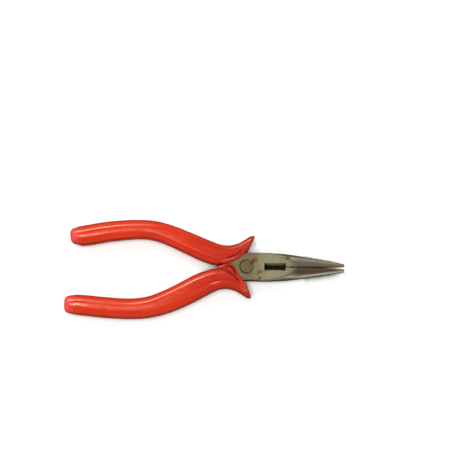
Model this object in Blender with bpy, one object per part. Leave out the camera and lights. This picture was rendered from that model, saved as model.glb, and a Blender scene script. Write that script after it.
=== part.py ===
"""Long nose pliers with side cutter: two lapped forgings, one pivot rivet and two plastic sleeves.

The frame has its origin on the pivot axis, at the back face of the head. +X points to the jaw
tips, +Y to the upper jaw's side and +Z out of the front face. Drawing sizes are in millimetres.

Both halves are drawn in one attitude, jaw above the parting plane y = 0 and handle below it.
The front half stays so. The rear half is turned over about X and swung open about the pivot.
"""

import math

import bmesh
import bpy
from mathutils import Vector

MM = 0.001

# Head and joint
HEAD_THICKNESS = 9.6
HEAD_HALF_WIDTH = 8.1
MID_PLANE = HEAD_THICKNESS / 2
REST_OPENING_DEG = 1.3
FULL_OPENING_DEG = 41.3
LAP_RADIUS_JAW = 10.4
LAP_RADIUS_HANDLE = 8.6
ARC_CLEARANCE = 0.15
LAP_CLEARANCE = 0.1
SWING_EDGE_DEG = 248.0
NECK_TOP = -0.15
NECK_CORNER = (-2.0, -HEAD_HALF_WIDTH)

# Rivet
SHANK_RADIUS = 3.0
RIVET_HEAD_RADIUS = 3.85
RIVET_HEAD_RIM = 0.25
RIVET_HEAD_DEPTH = 1.4
BORE_CLEARANCE = 0.08

# Nose: distance along X, half width and half depth of the oval it is ground to
NOSE_OVALS = (
    (8.0, 60.0, 60.0),
    (10.0, 10.4, 16.0),
    (16.0, 8.6, 9.8),
    (22.0, 7.85, 7.1),
    (28.6, 6.9, 4.95),
    (38.0, 5.35, 3.5),
    (48.0, 3.55, 2.45),
    (57.6, 1.7, 1.5),
)
NOSE_TIP = NOSE_OVALS[-1][0]

# Cutter: a valley from each face down to a narrow edge at mid thickness
CUTTER_END = 23.0
CUTTER_HALF_WIDTH = 2.1
CUTTER_LAND = 0.3

# Gripping teeth across the inner jaw face
TEETH_START = 27.2
TEETH_END = 52.4
TOOTH_PITCH = 1.3
TOOTH_HALF_WIDTH = 0.48
TOOTH_DEPTH = 0.42
TIP_RELIEF = 0.1
TIP_RELIEF_START = 52.8

# Neck of each forging: upper edge point, lower edge point
NECK = (
    ((-8.6, NECK_TOP), NECK_CORNER),
    ((-12.2, -0.4), (-8.5, -9.0)),
    ((-18.5, -3.5), (-15.5, -10.7)),
)
# Tang half widths at the sleeve's stations, from the neck to the tang's end
TANG_HALF_WIDTHS = (3.7, 3.7, 3.6, 3.5, 3.4, 3.1, 2.4)
# Side profile of the handle end: distance along X, half depth
TANG_DEPTHS = ((-12.0, 4.86), (-30.0, 3.5), (-115.0, 2.4))

# Sleeve stations from the butt to the guard: outer edge point, inner edge point
LOWER_SLEEVE = (
    ((-107.0, -27.2), (-106.9, -16.7)),
    ((-97.2, -28.4), (-97.4, -16.3)),
    ((-84.2, -29.8), (-83.6, -17.6)),
    ((-69.5, -30.6), (-69.8, -18.5)),
    ((-57.0, -29.9), (-59.0, -17.5)),
    ((-45.2, -26.9), (-49.8, -14.3)),
    ((-33.9, -22.2), (-40.1, -9.7)),
    ((-24.0, -17.1), (-30.0, -4.4)),
    ((-17.0, -13.6), (-21.5, -1.5)),
    ((-11.5, -12.9), (-15.8, -0.7)),
    ((-7.0, -13.9), (-10.6, 0.2)),
    ((-2.9, -16.2), (-6.8, -1.6)),
    ((0.2, -18.1), (-3.9, -4.8)),
    ((2.0, -18.4), (-1.9, -8.2)),
)
UPPER_SLEEVE = (
    ((-104.7, -20.5), (-103.4, -10.9)),
    ((-96.0, -22.5), (-94.4, -10.6)),
    ((-81.1, -25.2), (-79.3, -13.4)),
    ((-64.7, -26.5), (-64.2, -15.1)),
    ((-53.0, -25.8), (-54.9, -14.4)),
    ((-41.8, -22.8), (-46.0, -11.5)),
    ((-30.8, -18.6), (-35.8, -7.0)),
    ((-22.0, -15.1), (-26.4, -2.9)),
    ((-15.3, -12.8), (-19.5, -0.9)),
    ((-10.3, -12.5), (-15.0, -0.7)),
    ((-5.8, -13.5), (-10.0, -1.7)),
    ((-1.6, -15.8), (-5.6, -3.3)),
    ((1.8, -18.0), (-2.1, -5.7)),
    ((3.9, -18.5), (-0.9, -8.4)),
)
SLEEVE_HALF_DEPTH = 6.25
SLEEVE_BUTT_HALF_DEPTH = 5.7
SLEEVE_SQUARENESS = 2.5
MOUTH_SQUARENESS = 4.0
MOUTH_STATIONS = 5
BUTT_ROUNDING = 3.0
GUARD_ROUNDING = 0.9
SLEEVE_GAP = 0.3
SLEEVE_MOUTH_X = -13.5

# The slot that the head swings in: where its flank ends, and how far its open side reaches
SLOT_HEEL = -0.5
SLOT_FLANK = 2.9
SLOT_REACH = 35.0
SLOT_TOP = 10.0
# Share of the sleeve's length over which the butt swells to full depth
BUTT_SHARE = 1 / 3

# How far a cutter stands out of what it cuts, and a distance beyond the whole tool
OVERSHOOT = 1.0
OUTSIDE = 130.0

# Mesh fineness
SLEEVE_SIDES = 24
NOSE_SIDES = 48
SLEEVE_STEPS = 3
ARC_STEP_DEG = 6.0
BORE_SIDES = 40
SHARP_EDGE_DEG = 35.0

STEEL = ((0.27, 0.27, 0.21), 0.38, 1.0)
PLASTIC = ((0.75, 0.05, 0.01), 0.25, 0.0)


def clear_scene():
    """Remove whatever the scene holds."""
    for item in list(bpy.data.objects):
        bpy.data.objects.remove(item, do_unlink=True)


def polar(radius, degrees):
    """Return the point at a radius and an angle about the pivot."""
    angle = math.radians(degrees)
    return (radius * math.cos(angle), radius * math.sin(angle))


def arc(radius, start, end):
    """Return the points of an arc about the pivot, both ends included."""
    steps = max(2, round(abs(end - start) / ARC_STEP_DEG))
    return [polar(radius, start + (end - start) * i / steps) for i in range(steps + 1)]


def blend(first, second, share):
    """Return the number a share of the way from one to another."""
    return first + (second - first) * share


def smooth_through(rows, steps):
    """Return a Catmull-Rom curve through tuples of numbers, with steps between each two."""
    padded = [rows[0], *rows, rows[-1]]
    curve = []
    for before, start, end, after in zip(padded, padded[1:], padded[2:], padded[3:]):
        for step in range(steps):
            t = step / steps
            curve.append(tuple(
                0.5 * (2 * b + (c - a) * t + (2 * a - 5 * b + 4 * c - d) * t**2
                       + (3 * b - a - 3 * c + d) * t**3)
                for a, b, c, d in zip(before, start, end, after)))
    curve.append(tuple(rows[-1]))
    return curve


def new_object(name, bm, parent, material=None):
    """Turn a bmesh drawn in millimetres into an object in metres, shaded smooth if it is a piece."""
    bmesh.ops.recalc_face_normals(bm, faces=bm.faces)
    bmesh.ops.scale(bm, vec=(MM, MM, MM), verts=bm.verts)
    mesh = bpy.data.meshes.new(name)
    bm.to_mesh(mesh)
    bm.free()
    obj = bpy.data.objects.new(name, mesh)
    bpy.context.collection.objects.link(obj)
    obj.parent = parent
    if material:
        mesh.materials.append(material)
        mesh.shade_smooth()
        mesh.set_sharp_from_angle(angle=math.radians(SHARP_EDGE_DEG))
    return obj


def prism(outline, low, high):
    """Return a bmesh of an XY outline extruded from one height to another."""
    bm = bmesh.new()
    face = bm.faces.new([bm.verts.new((x, y, low)) for x, y in outline])
    grown = bmesh.ops.extrude_face_region(bm, geom=[face])
    verts = [item for item in grown["geom"] if isinstance(item, bmesh.types.BMVert)]
    bmesh.ops.translate(bm, vec=(0, 0, high - low), verts=verts)
    return bm


def loft(rings, bm=None):
    """Return a bmesh that skins rings of equal length and closes both ends."""
    bm = bm or bmesh.new()
    rows = [[bm.verts.new(point) for point in ring] for ring in rings]
    for row, after in zip(rows, rows[1:]):
        for i in range(len(row)):
            j = (i + 1) % len(row)
            bm.faces.new((row[i], row[j], after[j], after[i]))
    bm.faces.new(rows[0])
    bm.faces.new(reversed(rows[-1]))
    return bm


def cut(target, cutter, operation="DIFFERENCE"):
    """Add an exact Boolean to the target and keep its cutter out of the model."""
    cutter.hide_render = True
    cutter.display_type = "WIRE"
    modifier = target.modifiers.new(cutter.name, "BOOLEAN")
    modifier.operation = operation
    modifier.solver = "EXACT"
    modifier.object = cutter


def make_material(name, finish):
    """Return a Principled material of one colour, roughness and metallic value."""
    colour, roughness, metallic = finish
    material = bpy.data.materials.new(name)
    material.use_nodes = True
    shader = material.node_tree.nodes["Principled BSDF"]
    shader.inputs["Base Color"].default_value = (*colour, 1.0)
    shader.inputs["Roughness"].default_value = roughness
    shader.inputs["Metallic"].default_value = metallic
    material.diffuse_color = (*colour, 1.0)
    return material


def tang_stations(sleeve, clearance):
    """Return upper edge, lower edge rows of the handle, from the boss to the tang's end."""
    rows = [(*upper, *lower) for upper, lower in NECK]
    stations = sleeve[len(TANG_HALF_WIDTHS)::-1]
    for (outer, inner), half_width in zip(stations, TANG_HALF_WIDTHS):
        centre = (Vector(outer) + Vector(inner)) / 2
        across = (Vector(inner) - Vector(outer)).normalized() * half_width
        rows.append((*(centre + across), *(centre - across)))
    grown = []
    for row in rows:
        upper, lower = Vector(row[:2]), Vector(row[2:])
        across = (upper - lower).normalized() * clearance
        grown.append((*(upper + across), *(lower - across)))
    return smooth_through(grown, SLEEVE_STEPS)


def tang_half_depth(x):
    """Return the forging's half depth at a place along the handle."""
    depth = TANG_DEPTHS[0][1]
    for (near, near_depth), (far, far_depth) in zip(TANG_DEPTHS, TANG_DEPTHS[1:]):
        if far <= x <= near:
            depth = blend(near_depth, far_depth, (near - x) / (near - far))
    return depth


def lever_outline(sleeve):
    """Return the plan outline of a forging, with the whole boss of its own layer."""
    edge_angle = math.degrees(math.asin(HEAD_HALF_WIDTH / LAP_RADIUS_HANDLE))
    toe_angle = -math.degrees(math.asin(HEAD_HALF_WIDTH / LAP_RADIUS_JAW))
    rows = tang_stations(sleeve, 0.0)
    outline = [(NOSE_TIP + 2 * OVERSHOOT, 0.0), (NOSE_TIP + 2 * OVERSHOOT, HEAD_HALF_WIDTH)]
    outline += arc(LAP_RADIUS_HANDLE, 180 - edge_angle, 180)
    outline += [row[:2] for row in rows]
    outline += [row[2:] for row in reversed(rows)]
    outline += arc(LAP_RADIUS_JAW, toe_angle, 0)
    return outline


def nose_envelope(name, parent):
    """Make the tapering oval body that the nose is ground to."""
    rings = []
    ovals = [NOSE_OVALS[0], *smooth_through(NOSE_OVALS[1:], 3)]
    for x, half_width, half_depth in [(-OUTSIDE, *NOSE_OVALS[0][1:]), *ovals]:
        rings.append([(x, half_width * math.cos(a), MID_PLANE + half_depth * math.sin(a))
                      for a in (2 * math.pi * (i + 0.5) / NOSE_SIDES for i in range(NOSE_SIDES))])
    return new_object(name, loft(rings), parent)


def side_envelope(name, parent):
    """Make the side profile that thins the forging along its handle."""
    shoulder = TANG_DEPTHS[0][0] + OVERSHOOT
    top = [(OUTSIDE, HEAD_THICKNESS), (shoulder, HEAD_THICKNESS), *TANG_DEPTHS]
    profile = [(x, MID_PLANE + z) for x, z in top]
    profile += [(x, MID_PLANE - z) for x, z in reversed(top)]
    rings = [[(x, y, z) for x, z in profile] for y in (-OUTSIDE, OUTSIDE)]
    return new_object(name, loft(rings), parent)


def lap_pocket(name, parent):
    """Make the cutter that clears the other half's boss out of this half."""
    outline = arc(LAP_RADIUS_JAW + ARC_CLEARANCE, SWING_EDGE_DEG - 360, 180)
    outline += arc(LAP_RADIUS_HANDLE + ARC_CLEARANCE, 180, SWING_EDGE_DEG)
    return new_object(name, prism(outline, -OVERSHOOT, MID_PLANE + LAP_CLEARANCE), parent)


def rivet_rings(growth, overshoot):
    """Return the rivet's turned form, grown all round to make its bore."""
    rim = RIVET_HEAD_RADIUS + growth
    shank = SHANK_RADIUS + growth
    low = [(rim, -overshoot), (rim, RIVET_HEAD_RIM), (shank, RIVET_HEAD_DEPTH)]
    profile = low + [(radius, HEAD_THICKNESS - z) for radius, z in reversed(low)]
    return [[(*polar(radius, 360 * i / BORE_SIDES), z) for i in range(BORE_SIDES)]
            for radius, z in profile]


def cutter_valley(name, parent, outward):
    """Make the wedge that slopes from one face down to the cutting edge."""
    land = MID_PLANE + outward * CUTTER_LAND / 2
    face = MID_PLANE + outward * (MID_PLANE + OVERSHOOT)
    reach = CUTTER_HALF_WIDTH * (MID_PLANE + OVERSHOOT) / MID_PLANE
    section = [(-OVERSHOOT, land), (0.0, land), (reach, face), (-OVERSHOOT, face)]
    start = LAP_RADIUS_JAW - OVERSHOOT
    rings = [[(x, y, z) for y, z in section] for x in (start, CUTTER_END)]
    return new_object(name, loft(rings), parent)


def tooth_comb(name, parent):
    """Make the row of V grooves across the jaw face, with the shallow relief at the tip."""
    backing = -0.5
    crest = -0.04
    reach = TOOTH_HALF_WIDTH * (TOOTH_DEPTH - crest) / TOOTH_DEPTH
    outline = [(TIP_RELIEF_START, backing), (TEETH_START - reach, backing)]
    for index in range(int((TEETH_END - TEETH_START) / TOOTH_PITCH) + 1):
        x = TEETH_START + index * TOOTH_PITCH
        outline += [(x - reach, crest), (x, TOOTH_DEPTH), (x + reach, crest)]
    outline += [(TIP_RELIEF_START, crest), (TIP_RELIEF_START, TIP_RELIEF)]
    outline += [(NOSE_TIP + OVERSHOOT, TIP_RELIEF), (NOSE_TIP + OVERSHOOT, backing)]
    return new_object(name, prism(outline, -OVERSHOOT, HEAD_THICKNESS + OVERSHOOT), parent)


def boss_keeper(name, parent):
    """Make the disc that keeps a forging's own boss out of the cutter valley."""
    disc = prism(arc(LAP_RADIUS_JAW, 0, 360)[:-1], -OVERSHOOT, HEAD_THICKNESS + 2 * OVERSHOOT)
    return new_object(name, disc, parent)


def build_lever(name, sleeve, frame, material):
    """Make one forging: jaw, boss of its own layer, neck and tang."""
    lever = new_object(name, prism(lever_outline(sleeve), 0.0, HEAD_THICKNESS), frame, material)
    cut(lever, nose_envelope(name + "_nose_cutter", frame), "INTERSECT")
    cut(lever, side_envelope(name + "_side_cutter", frame), "INTERSECT")
    cut(lever, lap_pocket(name + "_lap_cutter", frame))
    bore = new_object(name + "_bore_cutter", loft(rivet_rings(BORE_CLEARANCE, OVERSHOOT)), frame)
    cut(lever, bore)
    front_valley = cutter_valley(name + "_front_valley_cutter", frame, 1)
    cut(front_valley, boss_keeper(name + "_boss_keeper", frame))
    cut(lever, front_valley)
    cut(lever, cutter_valley(name + "_back_valley_cutter", frame, -1))
    cut(lever, tooth_comb(name + "_tooth_cutter", frame))
    return lever


def oval_ring(outer, inner, half_depth, squareness):
    """Return a squared oval ring between two plan points."""
    centre = (outer + inner) / 2
    reach = (outer - inner) / 2
    ring = []
    for side in range(SLEEVE_SIDES):
        angle = 2 * math.pi * side / SLEEVE_SIDES
        across = math.copysign(abs(math.cos(angle)) ** (2 / squareness), math.cos(angle))
        up = math.copysign(abs(math.sin(angle)) ** (2 / squareness), math.sin(angle))
        place = centre + reach * across
        ring.append((place.x, place.y, MID_PLANE + half_depth * up))
    return ring


def end_rounding(outer, inner, half_depth, squareness, rounding, direction):
    """Return the rings that round an end off, from its small face to its full section."""
    centre = (outer + inner) / 2
    reach = (outer - inner) / 2
    outward = Vector((-reach.y, reach.x)).normalized() * direction
    rings = []
    for degrees in (0, 30, 60):
        inset = rounding * (1 - math.sin(math.radians(degrees)))
        shift = outward * rounding * math.cos(math.radians(degrees))
        scale = 1 - inset / reach.length
        rings.append(oval_ring(centre + reach * scale + shift, centre - reach * scale + shift,
                               half_depth - inset, squareness))
    return rings


def sleeve_body(stations):
    """Return the outer form of a sleeve, with a rounded butt and a flared guard."""
    rows = smooth_through([(*outer, *inner) for outer, inner in stations], SLEEVE_STEPS)
    pairs = [(Vector(row[:2]), Vector(row[2:])) for row in rows]
    butt_outer, butt_inner = pairs[0]
    across = (butt_inner - butt_outer).normalized()
    inward = Vector((-across.y, across.x)) * -BUTT_ROUNDING
    start = (butt_outer + inward, butt_inner + inward)
    rings = end_rounding(*start, SLEEVE_BUTT_HALF_DEPTH, SLEEVE_SQUARENESS, BUTT_ROUNDING, -1)
    rings.append(oval_ring(*start, SLEEVE_BUTT_HALF_DEPTH, SLEEVE_SQUARENESS))
    mouth_steps = MOUTH_STATIONS * SLEEVE_STEPS
    for index, (outer, inner) in enumerate(pairs[SLEEVE_STEPS - 1:], SLEEVE_STEPS - 1):
        swelling = min(1.0, index / len(pairs) / BUTT_SHARE)
        half_depth = blend(SLEEVE_BUTT_HALF_DEPTH, SLEEVE_HALF_DEPTH, swelling)
        # Square all along the mouth, and less and less over the same length behind it
        squaring = min(1.0, max(0.0, 2 - (len(pairs) - index) / mouth_steps))
        squareness = blend(SLEEVE_SQUARENESS, MOUTH_SQUARENESS, squaring)
        rings.append(oval_ring(outer, inner, half_depth, squareness))
    guard = end_rounding(*pairs[-1], SLEEVE_HALF_DEPTH, MOUTH_SQUARENESS, GUARD_ROUNDING, 1)
    return rings + guard[::-1]


def tang_pocket(name, sleeve, parent):
    """Make the hollow in the sleeve that the neck and tang push into."""
    rings = []
    for row in tang_stations(sleeve, SLEEVE_GAP):
        depth = tang_half_depth((row[0] + row[2]) / 2) + SLEEVE_GAP
        rings.append([(row[0], row[1], MID_PLANE - depth), (row[0], row[1], MID_PLANE + depth),
                      (row[2], row[3], MID_PLANE + depth), (row[2], row[3], MID_PLANE - depth)])
    return new_object(name, loft(rings), parent)


def swing_pocket(name, parent):
    """Make the slot in the sleeve's mouth that the head swings in."""
    normal = Vector(polar(1.0, -90 - FULL_OPENING_DEG))
    along = Vector((-normal.y, normal.x))
    edge = normal * (HEAD_HALF_WIDTH + SLEEVE_GAP)
    outline = [(SLEEVE_MOUTH_X, SLOT_HEEL), tuple(edge - along * SLOT_FLANK),
               tuple(edge + along * SLOT_REACH), (SLOT_REACH, SLOT_TOP), (SLEEVE_MOUTH_X, SLOT_TOP)]
    return new_object(name, prism(outline, -SLEEVE_GAP, HEAD_THICKNESS + SLEEVE_GAP), parent)


def build_sleeve(name, stations, frame, material):
    """Make one plastic sleeve, hollowed for its tang and slotted for the head."""
    sleeve = new_object(name, loft(sleeve_body(stations)), frame, material)
    cut(sleeve, tang_pocket(name + "_tang_cutter", stations, frame))
    cut(sleeve, swing_pocket(name + "_swing_cutter", frame))
    return sleeve


def half_frame(name, turned_over):
    """Return the empty that carries one half, on the pivot axis."""
    frame = bpy.data.objects.new(name, None)
    bpy.context.collection.objects.link(frame)
    if turned_over:
        frame.location = (0.0, 0.0, HEAD_THICKNESS * MM)
        frame.rotation_euler = (math.pi, 0.0, -math.radians(REST_OPENING_DEG))
    return frame


def main():
    """Build the five pieces."""
    clear_scene()
    steel = make_material("ground_steel", STEEL)
    plastic = make_material("sleeve_plastic", PLASTIC)
    front = half_frame("front_frame", turned_over=False)
    rear = half_frame("rear_frame", turned_over=True)
    build_lever("front_half", LOWER_SLEEVE, front, steel)
    build_lever("rear_half", UPPER_SLEEVE, rear, steel)
    build_sleeve("lower_sleeve", LOWER_SLEEVE, front, plastic)
    build_sleeve("upper_sleeve", UPPER_SLEEVE, rear, plastic)
    new_object("pivot_rivet", loft(rivet_rings(0.0, 0.0)), front, steel)


main()
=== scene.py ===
"""Looks of the long nose pliers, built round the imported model.

Two lapped forgings, a flush rivet and two moulded sleeves replace their plain CAD nodes, each with
a finer mesh in the same place. Drawing sizes are in millimetres. Both halves are drawn in one
attitude, jaw above the parting plane y = 0 and handle below it, and are then set in place.
"""

import logging
import math
from dataclasses import dataclass, field
from enum import Enum

import bmesh
import bpy
from mathutils import Matrix, Vector
from mathutils.bvhtree import BVHTree


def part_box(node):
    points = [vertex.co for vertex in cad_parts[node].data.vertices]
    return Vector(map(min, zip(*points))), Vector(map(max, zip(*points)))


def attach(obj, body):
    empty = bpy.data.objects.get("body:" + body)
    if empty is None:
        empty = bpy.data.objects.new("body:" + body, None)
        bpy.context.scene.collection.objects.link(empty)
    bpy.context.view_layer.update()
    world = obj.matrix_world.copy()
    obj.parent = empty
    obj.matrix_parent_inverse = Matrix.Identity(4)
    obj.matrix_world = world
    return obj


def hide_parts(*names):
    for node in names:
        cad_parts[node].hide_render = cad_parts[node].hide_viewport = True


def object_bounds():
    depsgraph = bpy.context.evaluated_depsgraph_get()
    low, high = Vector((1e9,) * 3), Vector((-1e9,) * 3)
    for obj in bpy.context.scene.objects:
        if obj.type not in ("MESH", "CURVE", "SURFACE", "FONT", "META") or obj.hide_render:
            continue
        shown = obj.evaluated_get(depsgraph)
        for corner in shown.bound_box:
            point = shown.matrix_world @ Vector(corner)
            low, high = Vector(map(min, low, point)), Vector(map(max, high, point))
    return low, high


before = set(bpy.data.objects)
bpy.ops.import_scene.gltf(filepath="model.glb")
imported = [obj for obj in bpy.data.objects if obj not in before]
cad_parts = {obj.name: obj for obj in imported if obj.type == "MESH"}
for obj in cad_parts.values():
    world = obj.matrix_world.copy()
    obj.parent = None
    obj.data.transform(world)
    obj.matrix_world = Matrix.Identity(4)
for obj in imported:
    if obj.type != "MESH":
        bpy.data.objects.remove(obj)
cad_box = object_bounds()

MM = 0.001
CORD_STEPS = 8
CORD_SIDES = 24
CORD_TAPER = 0.02
log = logging.getLogger("pliers")

Point = tuple[float, float]
Place = tuple[float, float, float]
Station = tuple[Point, Point]
Row = tuple[float, ...]
Ring = list[Place]
Socket = bpy.types.NodeSocket
Feed = Socket | float | Row


class Half(Enum):
    """Which of the two halves a piece belongs to."""

    FRONT = "front_body"
    REAR = "rear_body"


class Cut(Enum):
    """What a second solid does to the first."""

    KEEP = "INTERSECT"
    TAKE = "DIFFERENCE"
    JOIN = "UNION"


def polar(radius: float, degrees: float) -> Point:
    """Return the point at a radius and an angle about the pivot."""
    return radius * math.cos(math.radians(degrees)), radius * math.sin(math.radians(degrees))


def arc(radius: float, start: float, end: float, step: float = 2.0) -> list[Point]:
    """Return the points of an arc about the pivot, both ends included."""
    count = max(2, round(abs(end - start) / step))
    return [polar(radius, start + (end - start) * i / count) for i in range(count + 1)]


def between(low: float, high: float, share: float) -> float:
    """Return the number a share of the way from low to high."""
    return low + (high - low) * share


def ease(share: float) -> float:
    """Return a share from 0 to 1 with a soft start and end."""
    share = min(1.0, max(0.0, share))
    return share * share * (3 - 2 * share)


def hump(value: float, centre: float, width: float) -> float:
    """Return a bell curve of height 1."""
    return math.exp(-(((value - centre) / width) ** 2))


def smooth_through(rows: list[Row], steps: int) -> list[Row]:
    """Draw a Catmull-Rom curve through rows of numbers.

    Args:
        rows: What the curve passes through.
        steps: How many rows to make for each one given.

    Returns:
        The rows of the curve, the first and last as given.
    """
    padded = [rows[0], *rows, rows[-1]]
    curve = []
    for before, start, end, after in zip(padded, padded[1:], padded[2:], padded[3:]):
        for step in range(steps):
            t = step / steps
            curve.append(tuple(
                0.5 * (2 * b + (c - a) * t + (2 * a - 5 * b + 4 * c - d) * t**2
                       + (3 * b - a - 3 * c + d) * t**3)
                for a, b, c, d in zip(before, start, end, after)))
    curve.append(tuple(rows[-1]))
    return curve


def solid(name: str, bm: bmesh.types.BMesh) -> bpy.types.Object:
    """Turn a bmesh drawn in millimetres into an object in metres.

    Args:
        name: The object's name.
        bm: The mesh, which is used up.

    Returns:
        The new object, linked to the scene.
    """
    bmesh.ops.recalc_face_normals(bm, faces=bm.faces)
    bmesh.ops.scale(bm, vec=(MM, MM, MM), verts=bm.verts)
    mesh = bpy.data.meshes.new(name)
    bm.to_mesh(mesh)
    bm.free()
    obj = bpy.data.objects.new(name, mesh)
    bpy.context.collection.objects.link(obj)
    return obj


def prism(outline: list[Point], low: float, high: float) -> bmesh.types.BMesh:
    """Extrude a plan outline from one height to another."""
    return skin([[(x, y, z) for x, y in outline] for z in (low, high)])


def skin(rings: list[Ring]) -> bmesh.types.BMesh:
    """Join rings of equal length into a closed surface with a face over each end.

    Args:
        rings: The rings in order.

    Returns:
        The closed surface.
    """
    bm = bmesh.new()
    rows = [[bm.verts.new(point) for point in ring] for ring in rings]
    for row, after in zip(rows, rows[1:]):
        for i in range(len(row)):
            j = (i + 1) % len(row)
            bm.faces.new((row[i], row[j], after[j], after[i]))
    bm.faces.new(rows[0])
    bm.faces.new(reversed(rows[-1]))
    return bm


def cord(path: list[Point], height: float, wide: float, high: float) -> bmesh.types.BMesh:
    """Sweep an oval along a level path, with rounded ends.

    Args:
        path: Plan points that the middle of the cord passes through.
        height: The height of its middle.
        wide: Its half width in plan.
        high: Its half height.

    Returns:
        The closed cord.
    """
    points = [Vector(row) for row in smooth_through(path, CORD_STEPS)]
    last = len(points) - 1
    rings = []
    for index, point in enumerate(points):
        along = (points[min(last, index + 1)] - points[max(0, index - 1)]).normalized()
        across = Vector((-along.y, along.x))
        from_end = min((point - points[0]).length, (points[last] - point).length) / wide
        taper = math.sqrt(max(CORD_TAPER, 1 - (1 - min(1.0, from_end)) ** 2))
        ring = []
        for side in range(CORD_SIDES):
            x, y = polar(taper, 360 / CORD_SIDES * side)
            place = point + across * wide * x
            ring.append((place.x, place.y, height + high * y))
        rings.append(ring)
    return skin(rings)


def settle(obj: bpy.types.Object) -> None:
    """Make an object's modifiers part of its mesh.

    Args:
        obj: The object, which is changed.
    """
    evaluated = obj.evaluated_get(bpy.context.evaluated_depsgraph_get())
    mesh = bpy.data.meshes.new_from_object(evaluated)
    obj.modifiers.clear()
    old = obj.data
    obj.data = mesh
    bpy.data.meshes.remove(old)


def shape(target: bpy.types.Object, tool: bpy.types.Object, how: Cut) -> None:
    """Cut, keep or join one solid with another, and remove the second.

    Args:
        target: The solid that is changed.
        tool: The second solid, which is removed.
        how: What the second does to the first.
    """
    modifier = target.modifiers.new(how.name, "BOOLEAN")
    modifier.operation = how.value
    modifier.solver = "EXACT"
    modifier.object = tool
    settle(target)
    bpy.data.objects.remove(tool, do_unlink=True)


def smooth_shade(obj: bpy.types.Object, sharp_degrees: float) -> None:
    """Shade an object smooth, with hard edges where it turns sharply."""
    obj.data.shade_smooth()
    obj.data.set_sharp_from_angle(angle=math.radians(sharp_degrees))


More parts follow.
